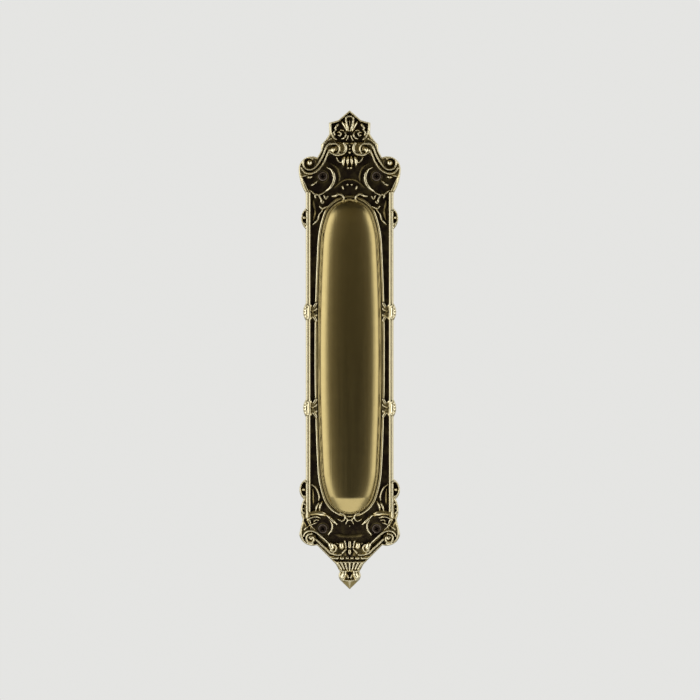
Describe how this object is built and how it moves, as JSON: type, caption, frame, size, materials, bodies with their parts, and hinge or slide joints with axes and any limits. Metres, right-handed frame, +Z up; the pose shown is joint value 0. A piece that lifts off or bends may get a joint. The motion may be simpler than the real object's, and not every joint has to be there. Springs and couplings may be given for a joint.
{
  "type": "door finger plate",
  "caption": "Cast brass door push plate with a long smooth cushion, ribbed side rails, scrolled rococo crest and finial, fixed by countersunk wood screws.",
  "frame": {"origin": "centre of the four fixing screws on the plate's back face", "axes": "+Z up along the plate's length, +Y out of the back into the door, the ornamented front faces -Y"},
  "size_m": [0.0618, 0.0251, 0.2901],
  "materials": {
    "antique_brass": "antiqued: bright on ridges, dark patina in recesses, satin brushed cushion",
    "dark_screw": "darkened to match the patina"
  },
  "bodies": {
    "root": {"finger_plate": "antique_brass", "fixing_screws": "dark_screw"}
  },
  "joints": []
}
